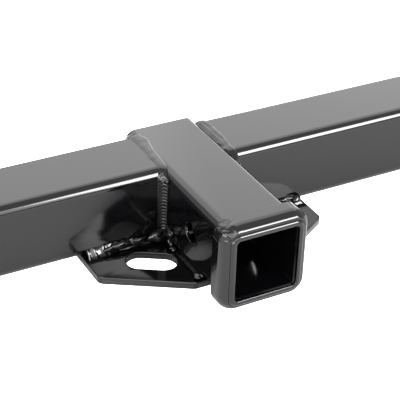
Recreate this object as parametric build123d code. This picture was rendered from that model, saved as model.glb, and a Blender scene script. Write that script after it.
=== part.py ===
from build123d import *
import os

# Trailer hitch of welded square steel tube, as it hangs under the rear of a vehicle.
# Millimetres. +X is the vehicle's right, +Y points to its front, +Z is up.
# The origin is the centre of the cross hole for the hitch pin, on the receiver's axis.

# Square tube that the receiver and both cross tubes are cut from
tube_side = 63.5
tube_corner = 8.0

# Receiver tube
receiver_wall = 6.0
receiver_tail = 6.0
pin_to_mouth = 64.0
pin_hole_diameter = 16.5
pin_hole_chamfer = 0.6
mouth_step_depth = 3.0
mouth_step_width = 1.25
mouth_outer_radius = 2.4
mouth_inner_chamfer = 0.6

# Collar pressed and welded round the receiver's mouth
collar_thickness = 6.1
collar_length = 19.0
collar_setback = 0.7
collar_nose_radius = 9.3
collar_rear_chamfer = 0.8

# Cross tubes, butted against the receiver's two sides
cross_wall = 4.8
cross_axis_y = 78.3
cross_span = 1000.0

# Chain plate, flat under the tubes
plate_thickness = 6.0
plate_width = 204.6
plate_front_width = 76.0
plate_front_y = -22.3
plate_shoulder_y = 17.1
plate_corner_radius = 7.0
plate_edge_chamfer = 0.6
plate_rear_land = 14.0
slot_width = 23.0
slot_length = 41.0
slot_inset = 27.1
slot_shift = 1.2

# Side plates that bolt to the vehicle's frame rails
bracket_thickness = 6.0
bracket_length = 300.0
bracket_margin = 12.0
bracket_corner_radius = 15.0
bracket_edge_chamfer = 0.8
bolt_hole_diameter = 13.5
bolt_pitch = 70.0
bolt_count = 3
bolt_end_distance = 30.0

# Fillet beads: their legs, how far their faces bulge, and the room left at their ends
front_leg = 6.0
rear_leg = 5.0
plate_rear_leg = 5.0
collar_leg = 5.6
collar_weld_wrap = 22.0
bracket_leg = 5.0
bead_bulge = 0.22
weld_end_gap = 3.0
weld_gap = 0.3
bead_slope = 45.0

# Beads between the plate and the tubes' rounded lower edges: root under the edge, then for
# the cross tubes and for the receiver's sides the leg, the climb up the edge and the lap into it
plate_weld_root = 6.4
plate_leg = 4.5
plate_weld_climb = 6.0
plate_weld_lap = 0.6
side_leg = 3.0
side_weld_climb = 5.0
side_weld_lap = 1.0

# Groove bead between the receiver's rounded edge and the cross tube's end, seen in section
crown_root = 6.0
crown_lap = 5.6
crown_lap_drop = 0.6
crown_height = 1.4
crown_shift = 1.0
crown_land = 4.0
crown_facets = 2

# Places worked out from the sizes above
half = tube_side / 2
flat_half = half - tube_corner
mouth_y = -pin_to_mouth
cross_front_y = cross_axis_y - half
cross_rear_y = cross_axis_y + half
receiver_rear_y = cross_rear_y + receiver_tail
cross_end_x = cross_span / 2
collar_front_y = mouth_y + collar_setback
collar_rear_y = collar_front_y + collar_length
plate_top_z = -half
plate_bottom_z = plate_top_z - plate_thickness
plate_rear_y = cross_rear_y - plate_rear_land
bracket_height = tube_side + 2 * bracket_margin
bracket_rear_y = cross_front_y - bracket_margin

ACROSS = Plane(origin=(0, 0, 0), x_dir=(1, 0, 0), z_dir=(0, 1, 0))
SIDEWAYS = Plane(origin=(0, 0, 0), x_dir=(0, 1, 0), z_dir=(1, 0, 0))


def square(side, corner):
    """Rounded square section of a tube's outside or inside."""
    return RectangleRounded(side, side, corner)


def along_y(section, y_start, y_end):
    """Section centred on the receiver's axis, carried from y_start to y_end."""
    return extrude(ACROSS.offset(y_start) * section, y_end - y_start)


def along_x(section, x_start, x_end, y=cross_axis_y):
    """Section centred on the cross tubes' axis, carried from x_start to x_end."""
    plane = SIDEWAYS.offset(x_start)
    return extrude(plane * Pos(y, 0, 0) * section, x_end - x_start)


def mirrored(solid):
    """The same piece on the vehicle's left."""
    return mirror(solid, Plane.YZ)


# Envelopes of the tubes, filled, which every weld bead is fitted against
receiver_envelope = along_y(square(tube_side, tube_corner), mouth_y, receiver_rear_y)
cross_envelope = along_x(square(tube_side, tube_corner), half, cross_end_x)


def receiver_tube():
    """Tube with a stepped mouth, rounded end edges and the cross hole for the pin."""
    inside = tube_side - 2 * receiver_wall
    inside_corner = tube_corner - receiver_wall
    step = inside + 2 * mouth_step_width
    front_edges = receiver_envelope.faces().sort_by(Axis.Y)[0].edges()
    outer = fillet(front_edges, mouth_outer_radius)
    bore = along_y(square(inside, inside_corner), mouth_y, receiver_rear_y)
    relief = along_y(square(step, inside_corner + mouth_step_width), mouth_y, mouth_y + mouth_step_depth)
    tube = outer - bore - relief
    mouth_edges = tube.faces().sort_by(Axis.Y)[0].inner_wires().edges()
    tube = chamfer(mouth_edges, mouth_inner_chamfer)
    tube -= Rot(0, 90, 0) * Cylinder(pin_hole_diameter / 2, tube_side)
    circles = tube.edges().filter_by(GeomType.CIRCLE).group_by(Axis.X)
    return chamfer(circles[0] + circles[-1], pin_hole_chamfer)


def receiver_collar():
    """Ring round the mouth, its front rolled over a large radius onto the tube's end."""
    side = tube_side + 2 * collar_thickness
    corner = tube_corner + collar_thickness
    block = along_y(square(side, corner), collar_front_y, collar_rear_y)
    block = fillet(block.faces().sort_by(Axis.Y)[0].edges(), collar_nose_radius)
    block = chamfer(block.faces().sort_by(Axis.Y)[-1].edges(), collar_rear_chamfer)
    return block - receiver_envelope


def cross_tube():
    """One half of the cross tube, cut square at both ends."""
    section = square(tube_side, tube_corner)
    section -= square(tube_side - 2 * cross_wall, tube_corner - cross_wall)
    return along_x(section, half, cross_end_x)


def chain_plate():
    """Flat plate with two cropped front corners and a slanted slot along each of them."""
    side_x = plate_width / 2
    nose_x = plate_front_width / 2
    outline = [(-side_x, plate_rear_y), (-side_x, plate_shoulder_y), (-nose_x, plate_front_y),
               (nose_x, plate_front_y), (side_x, plate_shoulder_y), (side_x, plate_rear_y)]
    face = make_face(Polyline(*outline, close=True))
    face = fillet(face.vertices().sort_by(Axis.Y)[:-2], plate_corner_radius)
    for side in (-1, 1):
        shoulder = Vector(side * side_x, plate_shoulder_y)
        nose = Vector(side * nose_x, plate_front_y)
        edge = shoulder - nose
        inward = Vector(-side * edge.Y, side * edge.X).normalized()
        centre = nose + edge / 2 + inward * slot_inset - edge.normalized() * slot_shift
        slope = edge.get_angle(Vector(side, 0, 0)) * side
        face -= Pos(centre.X, centre.Y) * Rot(0, 0, slope) * SlotOverall(slot_length, slot_width)
    plate = extrude(Pos(0, 0, plate_bottom_z) * face, plate_thickness)
    rims = plate.faces().sort_by(Axis.Z)[-1].edges()
    rims = rims.filter_by(lambda rim: rim.center().Y < cross_front_y - plate_leg)
    return chamfer(rims, plate_edge_chamfer)


def frame_bracket():
    """Side plate closing the cross tube's end, with a row of bolt holes ahead of the tube."""
    plate = along_x(RectangleRounded(bracket_length, bracket_height, bracket_corner_radius),
                    cross_end_x, cross_end_x + bracket_thickness, bracket_rear_y + bracket_length / 2)
    plate = chamfer(plate.faces().sort_by(Axis.X)[-1].edges(), bracket_edge_chamfer)
    last_hole_y = bracket_rear_y + bracket_length - bolt_end_distance
    through = (Align.CENTER, Align.CENTER, Align.MIN)
    hole = Rot(0, 90, 0) * Cylinder(bolt_hole_diameter / 2, bracket_thickness, align=through)
    for index in range(bolt_count):
        plate -= Pos(cross_end_x, last_hole_y - index * bolt_pitch, 0) * hole
    return plate


def bead(corner, leg_a, leg_b, along, length):
    """Fillet bead: a corner, two leg tips and a bulged face between the tips, carried along."""
    corner, leg_a, leg_b = Vector(corner), Vector(leg_a), Vector(leg_b)
    middle = (leg_a + leg_b) / 2
    crest = middle + (middle - corner) * 2 * bead_bulge
    outline = Polyline(leg_b, corner, leg_a) + ThreePointArc(leg_a, crest, leg_b)
    return extrude(make_face(outline), length, dir=Vector(along))


def upright_weld(y, outward, leg):
    """Vertical bead in the corner between the receiver's side and a cross tube's flat face."""
    corner = (half, y, -flat_half)
    return bead(corner, (half + leg, y, -flat_half), (half, y + outward * leg, -flat_half),
                (0, 0, 1), 2 * flat_half)


def top_weld():
    """Groove bead between the receiver's rounded edge and the cross tube's end, carried over
    the cross tube's top and down both of its rounded edges."""
    foot = (half, cross_axis_y, half - crown_root)
    left = (half - crown_lap, cross_axis_y, half - crown_lap_drop)
    crest = (half - crown_shift, cross_axis_y, half + crown_height)
    right = (half + crown_land, cross_axis_y, half)
    crown = ThreePointArc(left, crest, right)
    flats = [crown @ (index / crown_facets) for index in range(crown_facets + 1)]
    section = make_face(Polyline(foot, *flats, close=True))
    ridge = extrude(Pos(0, -flat_half, 0) * section, 2 * flat_half, dir=Vector(0, 1, 0))
    front_axis = Axis((0, cross_axis_y - flat_half, flat_half), (1, 0, 0))
    rear_axis = Axis((0, cross_axis_y + flat_half, flat_half), (-1, 0, 0))
    front_roll = revolve(Pos(0, -flat_half, 0) * section, front_axis, 90)
    rear_roll = revolve(Pos(0, flat_half, 0) * section, rear_axis, 90)
    return ridge + front_roll + rear_roll - receiver_envelope - cross_envelope


def plate_front_weld():
    """Bead between the plate's top and the cross tube's rounded lower front edge."""
    x_start = half + front_leg + weld_gap
    x_end = plate_width / 2 - weld_end_gap
    root = (x_start, cross_front_y + plate_weld_root, plate_top_z)
    toe = (x_start, cross_front_y - plate_leg, plate_top_z)
    top = (x_start, cross_front_y + plate_weld_lap, plate_top_z + plate_weld_climb)
    return bead(root, toe, top, (1, 0, 0), x_end - x_start) - cross_envelope


def plate_side_weld():
    """Bead between the plate's top and the receiver's rounded lower edge."""
    y_start = plate_front_y + weld_end_gap
    y_end = cross_front_y - front_leg - weld_gap
    root = (half - plate_weld_root, y_start, plate_top_z)
    toe = (half + side_leg, y_start, plate_top_z)
    top = (half - side_weld_lap, y_start, plate_top_z + side_weld_climb)
    return bead(root, toe, top, (0, 1, 0), y_end - y_start) - receiver_envelope


def plate_rear_weld():
    """Bead between the plate's rear edge and the undersides of the tubes."""
    x_end = plate_width / 2 - weld_end_gap
    corner = (-x_end, plate_rear_y, plate_top_z)
    toe = (-x_end, plate_rear_y + plate_rear_leg, plate_top_z)
    heel = (-x_end, plate_rear_y, plate_top_z - plate_rear_leg)
    return bead(corner, toe, heel, (1, 0, 0), 2 * x_end)


def collar_weld():
    """Bead behind the collar, down the receiver's side and wrapped round both corners."""
    outline = square(tube_side + 2 * collar_leg, tube_corner + collar_leg)
    ring = extrude(ACROSS.offset(collar_rear_y) * outline, collar_leg, taper=bead_slope) - receiver_envelope
    outer = half + collar_leg
    keep = Box(collar_weld_wrap, 4 * collar_leg, 4 * outer, align=(Align.MAX, Align.CENTER, Align.CENTER))
    return ring & Pos(outer, collar_rear_y, 0) * keep


def bracket_weld():
    """Bead all round the cross tube's end, on the side plate's inner face."""
    outline = square(tube_side + 2 * bracket_leg, tube_corner + bracket_leg)
    plane = Plane(origin=(cross_end_x, cross_axis_y, 0), x_dir=(0, 1, 0), z_dir=(-1, 0, 0))
    return extrude(plane * outline, bracket_leg, taper=bead_slope) - cross_envelope


right_pieces = {
    "cross_tube": cross_tube(),
    "frame_bracket": frame_bracket(),
    "front_weld": upright_weld(cross_front_y, -1, front_leg),
    "rear_weld": upright_weld(cross_rear_y, 1, rear_leg),
    "top_weld": top_weld(),
    "plate_front_weld": plate_front_weld(),
    "plate_side_weld": plate_side_weld(),
    "collar_weld": collar_weld(),
    "bracket_weld": bracket_weld(),
}

pieces = {
    "receiver_tube": receiver_tube(),
    "receiver_collar": receiver_collar(),
    "chain_plate": chain_plate(),
    "plate_rear_weld": plate_rear_weld(),
}
for name, solid in right_pieces.items():
    pieces["right_" + name] = solid
    pieces["left_" + name] = mirrored(solid)

os.makedirs("parts", exist_ok=True)
for name, solid in pieces.items():
    solid.label = name
    export_step(solid, "parts/" + name + ".step")
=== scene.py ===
import math
import bpy
import numpy as np
from mathutils import Matrix, Vector


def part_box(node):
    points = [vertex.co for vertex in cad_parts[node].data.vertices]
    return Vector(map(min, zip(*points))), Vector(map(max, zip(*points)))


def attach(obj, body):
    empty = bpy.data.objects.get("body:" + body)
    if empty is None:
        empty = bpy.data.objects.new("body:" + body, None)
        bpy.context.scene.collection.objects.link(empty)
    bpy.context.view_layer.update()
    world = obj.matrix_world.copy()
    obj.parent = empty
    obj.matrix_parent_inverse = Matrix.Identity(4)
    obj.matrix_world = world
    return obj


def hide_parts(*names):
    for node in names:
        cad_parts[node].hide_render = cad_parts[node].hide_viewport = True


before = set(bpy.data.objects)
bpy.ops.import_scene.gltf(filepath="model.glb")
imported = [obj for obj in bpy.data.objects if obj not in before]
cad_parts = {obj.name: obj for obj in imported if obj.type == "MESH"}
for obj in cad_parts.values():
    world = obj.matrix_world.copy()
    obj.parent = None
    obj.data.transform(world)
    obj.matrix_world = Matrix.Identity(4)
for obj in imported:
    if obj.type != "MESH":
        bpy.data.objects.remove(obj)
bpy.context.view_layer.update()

MM = 0.001


# Powder coat: the whole hitch is blasted and sprayed with one gloss black polyester powder,
# melted on in an oven. It mirrors its surroundings sharply, and its orange peel makes the
# mirror images tremble. The tubes, the plate and the side plates take it as they are.
coat_black = "#040405"
coat_ior = 1.5
coat_roughness = (0.07, 0.12)
haze_size = 14 * MM
peel_size = 2.2 * MM
peel_height = 0.004 * MM
same_point = 0.002 * MM


def linear(colour):
    """sRGB hex colour as linear red, green, blue and alpha."""
    values = [int(colour[i:i + 2], 16) / 255 for i in (1, 3, 5)]
    return [v / 12.92 if v <= 0.04045 else ((v + 0.055) / 1.055) ** 2.4 for v in values] + [1.0]


def add(material, kind, settings=(), links=()):
    """Adds a node; settings name its properties or inputs, links name an input and an output."""
    node = material.node_tree.nodes.new(kind)
    for key, value in dict(settings).items():
        if isinstance(key, str) and hasattr(node, key):
            setattr(node, key, value)
        else:
            node.inputs[key].default_value = value
    for key, output in dict(links).items():
        material.node_tree.links.new(output, node.inputs[key])
    return node


def new_material(name):
    """Material of that name with no nodes yet."""
    material = bpy.data.materials.new(name)
    material.use_nodes = True
    material.node_tree.nodes.clear()
    return material


def powder_coat():
    """Gloss black polyester powder coat: a bump of its orange peel and a slow drift of its gloss."""
    coat = new_material("gloss_black_powder_coat")
    place = add(coat, "ShaderNodeTexCoord").outputs["Object"]
    peel = add(coat, "ShaderNodeTexNoise", {"Scale": 1 / peel_size, "Detail": 2.0}, {"Vector": place})
    bump = add(coat, "ShaderNodeBump", {"Strength": 1.0, "Distance": peel_height},
               {"Height": peel.outputs["Fac"]})
    haze = add(coat, "ShaderNodeTexNoise", {"Scale": 1 / haze_size, "Detail": 3.0}, {"Vector": place})
    gloss = add(coat, "ShaderNodeMapRange", {"To Min": coat_roughness[0], "To Max": coat_roughness[1]},
                {"Value": haze.outputs["Fac"]})
    shader = add(coat, "ShaderNodeBsdfPrincipled", {"Base Color": linear(coat_black), "IOR": coat_ior},
                 {"Roughness": gloss.outputs["Result"], "Normal": bump.outputs["Normal"]})
    add(coat, "ShaderNodeOutputMaterial", (), {"Surface": shader.outputs["BSDF"]})
    return coat


coat = powder_coat()
# A CAD node comes as loose triangles, so its points are joined for smooth shading.
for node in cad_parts.values():
    node.data.materials.clear()
    node.data.materials.append(coat)
    node.data.shade_smooth()
    join = node.modifiers.new("join", "WELD")
    join.merge_threshold = same_point
    even = node.modifiers.new("even", "WEIGHTED_NORMAL")
    even.keep_sharp = False


# Seam round each cross tube's inner end, welded by hand in overlapping puddles that leave nested
# ripples: up the rear corner, over the top, where it fills the groove beside the receiver's
# rounded edge with an uneven crown, and down the front corner. Sizes are in millimetres.
cross_box = np.array(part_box("left_cross_tube")) / MM
cross_front, cross_rear = cross_box[:, 1]
half = cross_box[1, 2]  # of every tube's side
radius = 8.0  # of the tubes' long edges
flat = half - radius  # from a side's middle to where its edge starts to round
front_bend = cross_front + radius
rear_bend = cross_rear - radius

station = 0.35
bend_station = 2.5
bead_columns = 21
ripple_bow = 1.6
ripple_drift = 0.12
ripple_middle = 0.6
ripple_swell = 0.3
ripple_fade = 4
drift_pitches = 4
swell_pitches = 3
sway_pitches = 5
lump_around = 44
lump_up = 28
lump_sines = 6
pole_gap = 0.02
sharp_edge = math.radians(70)

seam_foot = -24.0
leg_cross = 5.2
leg_receiver = 7.0
root_height = 1.25
upright_crown = 0.3
upright_steep = 2
upright_ripple = 0.36
seam_ripples = {"pitch": 2.9, "arch": 2.7, "skew": 2.5, "sway": 0.06}
blend_stations = 13
notch_depth = 2.2


def wander(s, wave, seed):
    """Smooth random curve over the lengths s, five sines whose waves are about that long. It is
    about 1 high."""
    rng = np.random.default_rng(seed)
    rates = 2 * np.pi / wave * rng.uniform(0.6, 1.7, 5)
    return np.sin(np.multiply.outer(s, rates) + rng.uniform(0, 2 * np.pi, 5)).sum(-1) / 2.2


def points(x, y, z):
    """Points (stations, 3) from their coordinates, each a number or an array."""
    return np.stack(np.broadcast_arrays(x, y, z), -1).astype(float)


def skin(rings, loop=False):
    """Points and faces of a closed skin through rings (stations, points round each, 3), which
    has a face at each end or, as a loop, joins its last ring to its first."""
    n, m = rings.shape[:2]
    index = np.arange(n * m).reshape(n, m)
    turned = np.roll(index, -1, axis=1)
    quads = np.stack([index, turned, np.roll(turned, -1, axis=0), np.roll(index, -1, axis=0)], -1)
    if loop:
        return rings.reshape(-1, 3), quads.reshape(-1, 4).tolist()
    ends = [index[0, ::-1].tolist(), index[-1].tolist()]
    return rings.reshape(-1, 3), quads[:-1].reshape(-1, 4).tolist() + ends


def bead(a, b, root, seed, crown, pitch, depth=0.0, arch=0.0, steep=(2.0, 2.0), sway=0.2, skew=0.0):
    """Bead between toes a and b (stations, 3) above its root. With v from -1 at a to 1 at b, its
    crown is crown * (1 - |v| ** steep), which sways along the bead, and ripples of that pitch
    and depth lie on it: |sin| domes whose fronts bow by arch in the bead's middle and lean by
    skew."""
    middle = (a + b) / 2
    s = np.concatenate([[0], np.cumsum(np.linalg.norm(np.diff(middle, axis=0), axis=1))])
    out = middle - root
    out /= np.linalg.norm(out, axis=1)[:, None]
    crown, depth, steep_a, steep_b = (np.reshape(value, (-1, 1)) for value in (crown, depth, *steep))
    v = np.linspace(-1, 1, bead_columns)
    front = s[:, None] + arch * (1 - np.abs(v) ** ripple_bow) + skew * v
    phase = front / pitch + ripple_drift * wander(s, drift_pitches * pitch, seed)[:, None]
    ripple = depth * (np.abs(np.sin(np.pi * phase)) - ripple_middle)
    ripple = ripple * (1 + ripple_swell * wander(s, swell_pitches * pitch, seed + 1)[:, None])
    lift = crown * (1 - np.abs(v) ** np.where(v < 0, steep_a, steep_b))
    lift = lift * (1 + sway * wander(s, sway_pitches * pitch, seed + 2)[:, None])
    lift = lift + ripple * (1 - v ** ripple_fade)
    share = (v[:, None] + 1) / 2
    face = a[:, None] * (1 - share) + b[:, None] * share + out[:, None] * lift[..., None]
    return skin(np.concatenate([face, root[:, None]], axis=1))


def lump(centre, radii, seed, roughness, busy):
    """Blob of weld metal: an ellipsoid whose radius wanders with the direction, as six sines of
    it do. More of busy gives shorter waves."""
    rng = np.random.default_rng(seed)
    around = np.linspace(0, 2 * np.pi, lump_around, endpoint=False)
    up = np.linspace(pole_gap, np.pi - pole_gap, lump_up)
    ways = np.stack([np.outer(np.sin(up), np.cos(around)), np.outer(np.sin(up), np.sin(around)),
                     np.outer(np.cos(up), np.ones(lump_around))], -1)
    waves = rng.normal(0, busy, (lump_sines, 3))
    swell = 1 + roughness * np.sin(ways @ waves.T + rng.uniform(0, 6, lump_sines)).sum(-1) / 2
    return skin(np.asarray(centre) + ways * np.asarray(radii) * swell[..., None])


def piece(name, skins, node):
    """Object of those skins, in millimetres, that stands for the CAD node. A skin whose volume
    comes out negative has its faces turned round."""
    all_points, faces = [], []
    for some_points, some_faces in skins:
        start = sum(len(p) for p in all_points)
        p = some_points[np.array([face for face in some_faces if len(face) == 4])]
        volume = np.einsum("ij,ij->", p[:, 0], np.cross(p[:, 1], p[:, 2]) + np.cross(p[:, 2], p[:, 3]))
        turn = 1 if volume > 0 else -1
        faces += [[start + i for i in face[::turn]] for face in some_faces]
        all_points.append(some_points)
    mesh = bpy.data.meshes.new(name)
    mesh.from_pydata(np.concatenate(all_points) * MM, [], faces)
    mesh.shade_smooth()
    mesh.set_sharp_from_angle(angle=sharp_edge)
    mesh.materials.append(coat)
    made = bpy.data.objects.new(name, mesh)
    bpy.context.scene.collection.objects.link(made)
    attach(made, "root")
    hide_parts(node)


def receiver_surface(x):
    """Height of the receiver's top at x: level, then down the quarter circle of its edge."""
    past = np.clip(np.abs(x) - flat, 0, radius)
    return flat + np.sqrt(radius ** 2 - past ** 2)


def upright(corner_y, way, heights):
    """Toes and root of the bead in an upright corner, over those heights."""
    return (points(half + leg_cross, corner_y, heights),
            points(half, corner_y + way * leg_receiver, heights),
            points(half, corner_y, heights))


def bend_over(centre_y, way, angle, top_a, top_b):
    """Toes and root where the bead wraps over the cross tube's rounded edge, from angle 0 on its
    top to a quarter turn. The toes ease from their places on the top, the distance top_a from
    the middle and the angle top_b round the receiver's edge, to the upright's."""
    ease = np.sin(angle) ** 2
    beta = top_b + (np.pi / 2 - top_b) * ease
    reach = root_height + (radius - root_height) * angle / (np.pi / 2)
    return (points(top_a + (half + leg_cross - top_a) * ease, centre_y + way * radius * np.sin(angle),
                   flat + radius * np.cos(angle)),
            points(flat + radius * np.sin(beta), centre_y + way * (radius + leg_receiver) * np.sin(angle),
                   flat + radius * np.cos(beta)),
            points(half, centre_y + way * reach * np.sin(angle), flat + reach * np.cos(angle)))


def seam(side, toe_cross, toe_receiver, notches, top_crown, steep_cross, steep_receiver, seed):
    """Rings of one side's three beads, and how many there are up to each part's end. toe_cross
    and toe_receiver are tables (y, distance from the middle) of the top bead's two toes, from
    the rear to the front, notches (y, length) are places where it hardly reaches the receiver,
    and top_crown and the two steeps are its shape."""
    heights = np.arange(seam_foot, flat, station)
    bend = np.radians(np.arange(0, 90.1, bend_station))
    y = np.arange(rear_bend, front_bend, -station)
    top_a, top_b = (np.interp(-y, -rows[:, 0], rows[:, 1]) for rows in (toe_cross, toe_receiver))
    start_b, end_b = (np.arcsin(np.clip((top_b[i] - flat) / radius, -1, 1)) for i in (0, -1))
    top = (points(top_a, y, half), points(top_b, y, receiver_surface(top_b)),
           points(half, y, flat + root_height))
    parts = [upright(cross_rear, 1, heights), bend_over(rear_bend, 1, bend[::-1], top_a[0], start_b), top,
             bend_over(front_bend, -1, bend, top_a[-1], end_b), upright(cross_front, -1, heights[::-1])]
    a, b, root = (np.concatenate([part[i] for part in parts]) * (side, 1, 1) for i in range(3))
    counts = np.cumsum([len(part[0]) for part in parts])
    on_top = np.zeros(len(a))
    on_top[counts[0] + len(bend) // 2:counts[3] - len(bend) // 2] = 1
    padded = np.pad(on_top, blend_stations // 2, mode="edge")
    on_top = np.convolve(padded, np.ones(blend_stations) / blend_stations, "valid")
    crown = upright_crown * (1 - on_top) + top_crown * on_top
    depth = upright_ripple * (1 - on_top)
    notched = steep_receiver - sum(notch_depth * np.exp(-((b[:, 1] - y) / length) ** 2)
                                   for y, length in notches)
    steep = [upright_steep * (1 - on_top) + value * on_top for value in (steep_cross, notched)]
    rings, _ = bead(a, b, root, seed, crown, depth=depth, steep=steep, **seam_ripples)
    return rings.reshape(len(a), -1, 3), counts


# The top bead's toes, measured from the photo.
left_toe_cross = np.array([(105, 33.9), (92, 33.2), (87, 33.6), (79.5, 32.9), (66.6, 34.6), (62, 33.6),
                           (48, 34.5)])
left_toe_receiver = np.array([(103, 24.2), (101, 21.8), (96, 20.8), (88.4, 22.6), (79.3, 24.4),
                              (71.3, 24.8), (63.5, 25.2), (56.7, 25.9), (49.2, 26.5)])
right_toe_cross = np.array([(105, 35.8), (101.3, 37.5), (92.2, 38.3), (84.7, 38.0), (76.2, 38.0),
                            (65.5, 36.7), (56.8, 35.6), (52, 36.6)])
right_toe_receiver = np.array([(107, 28.8), (95.9, 29.4), (83.1, 29.0), (72.1, 29.6), (55, 29.0)])
right_notches = [(100.5, 3.4), (77.5, 5.5), (61.0, 3.0)]
for word, side, toe_cross, toe_receiver, notches, shape, seed in (
        ("left", -1, left_toe_cross, left_toe_receiver, [], (1.15, 2.5, 4.0), 11),
        ("right", 1, right_toe_cross, right_toe_receiver, right_notches, (1.4, 3.6, 3.2), 21)):
    rings, counts = seam(side, toe_cross, toe_receiver, notches, *shape, seed)
    last_puddle = lump((side * 32.8, 38.4, 25.2), (1.9, 2.3, 2.1), seed + 5, 0.12, 2.6)
    piece(word + "_rear_bead", [skin(rings[:counts[0] + 1])], word + "_rear_weld")
    piece(word + "_top_bead", [skin(rings[counts[0]:counts[3] + 1])], word + "_top_weld")
    piece(word + "_front_bead", [skin(rings[counts[3]:]), last_puddle], word + "_front_weld")


# Beads between the chain plate and the cross tubes' rounded lower edges: low, uneven runs of
# filler on which later puddles left long lumps. The left one shows in the photo from end to end.
plate_top = -half
plate_root = 6.0
cross_run = (38, 99.5)
end_margin = 0.5
end_taper = 2.5
end_least = 0.05
cross_run_crown = 0.45
cross_run_waves = {"pitch": 9.0, "sway": 0.5}
toe_wander = 0.22
toe_wave = 8
climb_wander = 0.3
climb_wave = 7


def between(rows, at):
    """Columns of a table, interpolated at those places of its first column."""
    rows = np.array(rows)
    return [np.interp(at, rows[:, 0], column) for column in rows.T[1:]]


def lower_edge(height):
    """How far a tube's lower edge, a quarter circle, lies behind its face, that high over the plate."""
    return radius - np.sqrt(radius ** 2 - np.clip(radius - height, 0, radius) ** 2)


# How far out, the toe's place on the plate and the climb up the cross tube, from the photo on
# the left.
left_cross_rows = [(38, 44.0, 4.6), (47.7, 43.4, 4.8), (51.2, 43.4, 5.4), (61, 44.0, 6.4), (72, 44.8, 7.4),
                   (80.5, 42.4, 7.4), (90, 41.9, 7.4), (95, 41.8, 7.2), (99.5, 41.8, 6.8)]
right_cross_rows = [(38, 42.5, 5.2), (60, 42.0, 5.4), (80, 42.3, 5.2), (90, 41.6, 6.0), (99.5, 41.8, 5.0)]
left_cross_lumps = [lump((-80.5, 43.8, -27.6), (6.0, 1.9, 2.2), 85, 0.08, 2.4),
                    lump((-70.5, 44.2, -26.8), (9.0, 2.7, 2.7), 83, 0.08, 2.4),
                    lump((-64.0, 42.6, -30.2), (9.0, 1.3, 1.2), 86, 0.08, 2.4),
                    lump((-53.0, 44.8, -26.2), (6.8, 1.9, 2.0), 84, 0.14, 2.6)]
right_cross_lumps = [lump((93.5, 44.2, -28.0), (5.2, 3.4, 3.2), 91, 0.16, 2.6),
                     lump((86.0, 45.6, -26.2), (8.0, 2.0, 1.9), 92, 0.14, 2.6)]
for word, side, rows, lumps, seed in (("left", -1, left_cross_rows, left_cross_lumps, 31),
                                      ("right", 1, right_cross_rows, right_cross_lumps, 41)):
    x = np.arange(*cross_run, station)
    toe_y, climb = between(rows, x)
    toe_y = toe_y + toe_wander * wander(x, toe_wave, seed)
    climb = climb + climb_wander * wander(x, climb_wave, seed + 5)
    from_end = np.minimum(x - cross_run[0], cross_run[1] - x) + end_margin
    crown = cross_run_crown * np.clip(from_end / end_taper, end_least, 1) ** 0.5
    run = bead(points(side * x, toe_y, plate_top),
               points(side * x, cross_front + lower_edge(climb), plate_top + climb),
               points(side * x, cross_front + plate_root, plate_top), seed, crown, **cross_run_waves)
    piece(word + "_plate_front_bead", [run] + lumps, word + "_plate_front_weld")


# Beads between the plate and the receiver's rounded lower edges: one thin run on each side. On
# the left a mass of weld fills the corner where three runs meet, with tacks in front of it.
side_run = (-19.0, 40.0)
side_leg = 2.6
side_climb = 4.2
side_crown = 0.2
side_thin = 0.42
side_swells = [(0.15, -16, 3), (0.3, 40, 8)]
side_wander = 0.05
side_wave = 9
side_pitch = 3.4

corner_lumps = [lump((-38.4, 42.2, -26.4), (8.2, 5.8, 5.4), 71, 0.11, 3.2),
                lump((-33.0, 33.0, -18.6), (2.6, 5.6, 4.4), 72, 0.14, 3.2),
                lump((-33.2, 31.0, -26.5), (2.4, 3.4, 3.0), 73, 0.2, 3.2),
                lump((-33.4, 25.6, -29.8), (2.6, 2.8, 2.2), 74, 0.2, 3.2),
                lump((-33.8, -16.5, -29.4), (2.8, 3.6, 2.8), 75, 0.2, 3.2)]
for word, side, lumps, seed in (("left", -1, corner_lumps, 51), ("right", 1, [], 61)):
    y = np.arange(*side_run, station)
    grow = side_thin + sum(more * np.exp(-((y - at) / length) ** 2) for more, at, length in side_swells)
    leg = side_leg * grow * (1 + side_wander * wander(y, side_wave, seed))
    climb = side_climb * grow * (1 + side_wander * wander(y, side_wave, seed + 3))
    run = bead(points(side * (half + leg), y, plate_top),
               points(side * (half - lower_edge(climb)), y, plate_top + climb),
               points(side * (half - plate_root), y, plate_top), seed, side_crown * grow, side_pitch)
    piece(word + "_plate_side_bead", [run] + lumps, word + "_plate_side_weld")


# Bead along the plate's rear edge, in the corner under the cross tubes. It is hidden in the
# photo, so it is one plain run with even ripples.
plate_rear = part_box("chain_plate")[1][1] / MM
rear_run = 99.3
rear_leg = 5.0
rear_station = 0.4

x = np.arange(-rear_run, rear_run, rear_station)
run = bead(points(x, plate_rear + rear_leg, plate_top), points(x, plate_rear, plate_top - rear_leg),
           points(x, plate_rear, plate_top), 65, crown=0.7, pitch=3.9, depth=0.3, arch=3.0)
piece("plate_rear_bead", [run], "plate_rear_weld")


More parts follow.
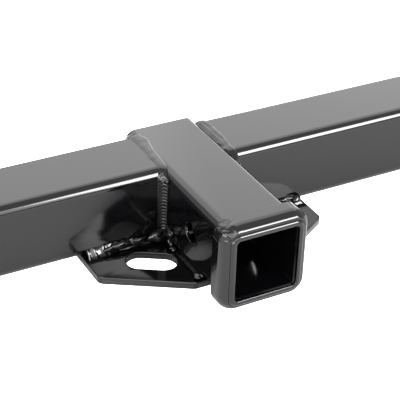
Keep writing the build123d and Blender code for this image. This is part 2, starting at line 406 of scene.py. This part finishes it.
# Collar: a forged ring with a rolled front edge that runs out onto the tube's rounded end. At
# its upper left corner it is built up with weld, which left lumps and creases.
collar_box = np.array(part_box("receiver_collar")) / MM
collar_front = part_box("receiver_tube")[0][1] / MM
collar_rear = collar_box[1, 1]
collar_height = collar_box[1, 0] - half
collar_chamfer = 0.8
collar_crease = 0.1
collar_foot = 2.0
collar_sunk = 0.6
collar_lap = 0.3
nose_radius = 10.5
lip_radius = 3.6
lip_angle = math.radians(42)
lip_points = 14
nose_points = 34
top_points = 16
turn_share = 0.4
plain_step = (16, 60)
built_step = (40, 80)
built_centre = (-32.0, -54.0, 33.0)
built_size = (9.5, 10.0, 7.5)
built_height = 0.3
built_waves = [(0.5, 7.0, 5), (0.06, 2.8, 6)]
swirl_centre = (-31.0, -50.0, 36.0)
swirl_pitch = 4.0
swirl_height = 0.35


def square_path(places):
    """Points and outward directions (each x, z) of the receiver's outline at those places: a
    whole number counts the corners from the lower left one clockwise, the first turn_share of
    each step goes round the corner and the rest along the side after it."""
    count = np.floor(places).astype(int)
    share = places - count
    turn = np.pi / 2 * (count % 4 + np.clip(share / turn_share, 0, 1))
    along = 2 * flat * np.clip((share - turn_share) / (1 - turn_share), 0, 1)
    middles = np.array([(-flat, -flat), (-flat, flat), (flat, flat), (flat, -flat)])[count % 4]
    after = np.array([(0, 1), (1, 0), (0, -1), (-1, 0)])[count % 4]
    out = np.stack([-np.sin(turn), -np.cos(turn)], -1)
    return middles + radius * out + after * along[:, None], out


def step_places(turning, straight):
    """Places of one step of square_path, so many round its corner and so many along its side."""
    return np.concatenate([np.linspace(0, turn_share, turning, endpoint=False),
                           np.linspace(turn_share, 1, straight, endpoint=False)])


def rough(places, wave, seed):
    """Smooth random field over points in millimetres, nine sines whose waves are about that
    long. It is about 1 high."""
    rng = np.random.default_rng(seed)
    rates = rng.normal(0, 2 * np.pi / wave / 1.7, (9, 3))
    return np.sin(places @ rates.T + rng.uniform(0, 2 * np.pi, 9)).sum(-1) / 3


def collar_profile():
    """Outline (height over the tube, y) of the collar's outside, which is the arcs of its lip
    and its nose and its straight top, and the four points of its rear and inside."""
    lip = np.linspace(0, lip_angle, lip_points)
    nose = np.linspace(lip_angle, math.pi / 2, nose_points)[1:]
    lip_height = collar_height - nose_radius + nose_radius * math.sin(lip_angle)
    lip_depth = nose_radius * (1 - math.cos(lip_angle))
    low = np.stack([lip_height - lip_radius * (math.sin(lip_angle) - np.sin(lip)),
                    collar_front + lip_depth - lip_radius * (np.cos(lip) - math.cos(lip_angle))], -1)
    high = np.stack([collar_height - nose_radius * (1 - np.sin(nose)),
                     collar_front + nose_radius * (1 - np.cos(nose))], -1)
    top = np.stack([np.full(top_points, collar_height),
                    np.linspace(high[-1, 1], collar_rear - collar_chamfer, top_points + 1)[1:]], -1)
    top[-2, 1] = top[-1, 1] - collar_crease
    inside = [(collar_height - collar_chamfer, collar_rear), (collar_foot, collar_rear),
              (-collar_sunk, collar_rear), (-collar_sunk, low[0, 1] + collar_lap)]
    return np.concatenate([low, high, top]), np.array(inside)


def round_tube(path, out, profile):
    """Points of a profile (height, y) at each station of a path with those outward directions."""
    x, z = (path[:, i, None] + out[:, i, None] * profile[:, 0] for i in (0, 1))
    return np.stack([x, np.broadcast_to(profile[:, 1], x.shape), z], -1)


steps, fine = step_places(*plain_step), step_places(*built_step)
path, out = square_path(np.concatenate([steps, 1 + fine, 2 + steps, 3 + steps]))
outside, inside = collar_profile()
profile = np.concatenate([outside, inside])
rings = round_tube(path, out, profile)
slope = np.gradient(profile, axis=0)
normal = np.stack([slope[:, 1], -slope[:, 0]], -1) / np.linalg.norm(slope, axis=1)[:, None]
built = np.exp(-np.linalg.norm((rings - built_centre) / built_size, axis=-1) ** 4)
swirl = np.abs(np.sin(np.pi * np.linalg.norm(rings - swirl_centre, axis=-1) / swirl_pitch)) - ripple_middle
rise = built_height + sum(height * rough(rings, wave, seed) for height, wave, seed in built_waves)
rise = built * (rise + swirl_height * swirl) * (np.arange(len(profile)) < len(outside))
rings = rings + round_tube(0 * path, out, normal) * rise[..., None]
collar_lumps = [lump((-31.2, -55.6, 29.2), (5.9, 5.9, 6.2), 101, 0.05, 2.4),
                lump((-28.2, -58.8, 31.2), (3.6, 2.8, 2.8), 102, 0.1, 2.6)]
piece("collar_ring", [skin(rings, loop=True)] + collar_lumps, "receiver_collar")


# Beads behind the collar, down each side and round its corners, and all round the outer ends
# of the cross tubes, against the side plates. Each is one run with even ripples.
collar_run = (3.894, 5.506)
collar_run_stations = 260
collar_leg_rear = 5.6
collar_leg_up = 5.2
bracket_face = -cross_box[0, 0]
bracket_leg = 5.0
bracket_run_stations = 620
cross_axis = (cross_front + cross_rear) / 2
root_inside = 0.5
root_behind = 0.3

collar_toes = ((0, collar_rear + collar_leg_rear), (collar_leg_up, collar_rear),
               (-root_inside, collar_rear - root_behind))
bracket_toes = ((0, bracket_face - bracket_leg), (bracket_leg, bracket_face),
                (-root_inside, bracket_face + root_behind))
for word, side, seed in (("left", -1, 111), ("right", 1, 121)):
    path, out = square_path(np.linspace(*collar_run, collar_run_stations))
    toes = (points(-side * (path + out * r)[:, 0], y, (path + out * r)[:, 1]) for r, y in collar_toes)
    run = bead(*toes, seed, crown=0.6, pitch=4.0, depth=0.35, arch=3.0)
    piece(word + "_collar_bead", [run], word + "_collar_weld")

    path, out = square_path(np.linspace(0, 4, bracket_run_stations))
    toes = (points(side * x, cross_axis + (path + out * r)[:, 0], (path + out * r)[:, 1])
            for r, x in bracket_toes)
    run = bead(*toes, seed + 5, crown=0.6, pitch=3.9, depth=0.35, arch=3.0)
    piece(word + "_bracket_bead", [run], word + "_bracket_weld")


# Floor: a plain pale floor far below, brighter than white, as the part hangs free in the photo.
# A white table close under the part is seen only in its gloss, with the part's shade on it.
floor_drop = 1.0
floor_side = 16.0
floor_pale = "#f2f2f2"
floor_glow = 1.6
table_drop = 0.0445
table_side = 6.0
table_white = "#dcdcdc"
matt_roughness = 0.9


def ground(name, side, drop, colour, glow):
    """Level square sheet of that side, so far below the part, of matt material that may glow."""
    matt = new_material(name)
    shader = add(matt, "ShaderNodeBsdfPrincipled",
                 {"Base Color": linear(colour), "Roughness": matt_roughness,
                  "Emission Color": (1, 1, 1, 1), "Emission Strength": glow})
    add(matt, "ShaderNodeOutputMaterial", (), {"Surface": shader.outputs["BSDF"]})
    corners = [(x * side / 2, y * side / 2, -drop) for x, y in ((-1, -1), (1, -1), (1, 1), (-1, 1))]
    mesh = bpy.data.meshes.new(name)
    mesh.from_pydata(corners, [], [(0, 1, 2, 3)])
    mesh.materials.append(matt)
    sheet = bpy.data.objects.new(name, mesh)
    bpy.context.scene.collection.objects.link(sheet)
    return sheet


ground("pale_floor", floor_side, floor_drop, floor_pale, floor_glow)
white_table = ground("white_table", table_side, table_drop, table_white, 0.0)
white_table.visible_camera = False


# Studio: a large soft box and a low backdrop behind the part grey its tops, and a small bright
# bar in front to the right, with a dim sheet beside it, draws the white lines along the rounded
# edges. A strip and a box on the left pick out the beads. The room is pale.
room_light = 1.0
rear_box = dict(azimuth=18, elevation=44, distance=3.5, width=5.5, height=3.2, light=1.9)
backdrop = dict(azimuth=42, elevation=3, distance=4.0, width=2.2, height=1.1, light=3.0)
front_bar = dict(azimuth=145.7, elevation=27.4, distance=3.0, width=1.24, height=1.29, light=24)
left_strip = dict(azimuth=-112, elevation=11, distance=3.0, width=4.2, height=1.5, light=7.0)
left_box = dict(azimuth=-138, elevation=40, distance=3.0, width=2.4, height=1.8, light=3.2)
front_sheet = dict(azimuth=172, elevation=30, distance=3.1, width=3.2, height=1.9, light=3.6)


def soft_box(name, azimuth, elevation, distance, width, height, light):
    """Area light seen from the origin at that azimuth (0 is +Y, 90 is +X) and elevation in
    degrees, facing the origin, whose face shines with that much light."""
    turn, lift = math.radians(azimuth), math.radians(elevation)
    out = Vector((math.sin(turn) * math.cos(lift), math.cos(turn) * math.cos(lift), math.sin(lift)))
    lamp = bpy.data.lights.new(name, "AREA")
    lamp.shape = "RECTANGLE"
    lamp.size, lamp.size_y = width, height
    lamp.energy = math.pi * width * height * light
    box = bpy.data.objects.new(name, lamp)
    box.location = out * distance
    box.rotation_euler = out.to_track_quat("Z", "Y").to_euler()
    box.visible_camera = False
    bpy.context.scene.collection.objects.link(box)


soft_box("rear_soft_box", **rear_box)
soft_box("backdrop", **backdrop)
soft_box("front_bar", **front_bar)
soft_box("left_strip", **left_strip)
soft_box("left_box", **left_box)
soft_box("front_sheet", **front_sheet)
world = bpy.data.worlds.new("room")
world.use_nodes = True
world.node_tree.nodes["Background"].inputs["Color"].default_value = (1, 1, 1, 1)
world.node_tree.nodes["Background"].inputs["Strength"].default_value = room_light
bpy.context.scene.world = world
bpy.context.scene.view_settings.view_transform = "Standard"


# Camera: at the photo's place, solved from the tubes' edges in it. It stands behind the vehicle
# on its left and looks down at the receiver's mouth.
camera_place = Vector((-456.0, -769.9, 571.6)) * MM
camera_yaw = math.radians(29.29)
camera_pitch = math.radians(31.64)
camera_roll = math.radians(1.91)
focal_pixels = 1350.9
photo_pixels = 400
sensor_width = 36.0

camera = bpy.data.objects.new("camera", bpy.data.cameras.new("camera"))
camera.data.sensor_fit = "HORIZONTAL"
camera.data.sensor_width = sensor_width
camera.data.lens = focal_pixels / photo_pixels * sensor_width
turned = (Matrix.Rotation(-camera_yaw, 4, "Z") @ Matrix.Rotation(math.pi / 2 - camera_pitch, 4, "X")
          @ Matrix.Rotation(camera_roll, 4, "Z"))
camera.matrix_world = Matrix.Translation(camera_place) @ turned
bpy.context.scene.collection.objects.link(camera)
bpy.context.scene.camera = camera
